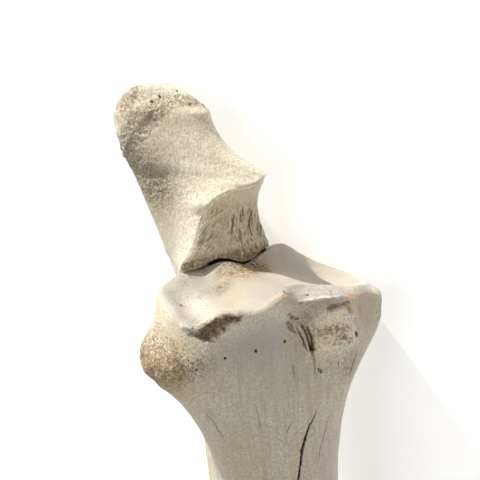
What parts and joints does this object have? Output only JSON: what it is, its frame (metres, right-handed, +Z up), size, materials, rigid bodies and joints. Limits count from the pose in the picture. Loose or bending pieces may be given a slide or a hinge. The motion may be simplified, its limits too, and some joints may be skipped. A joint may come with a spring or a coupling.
{
  "type": "giraffe radius and ulna",
  "caption": "Forearm bones of an adult giraffe at rest: long radius with its cupped head and carpal end, and ulna with olecranon, trochlear notch and tapering shaft.",
  "frame": {"origin": "middle of the bounding box, on the floor on which the bones lie", "axes": "+Z up from the floor, +X along the radius from its carpal end to its head, +Y across it on the floor, towards the side to which the olecranon leans"},
  "size_m": [0.8858, 0.1366, 0.1041],
  "materials": {
    "radius": "dry weathered bone",
    "ulna": "dry weathered bone"
  },
  "bodies": {
    "root": {"radius": "radius", "ulna": "ulna"}
  },
  "joints": []
}
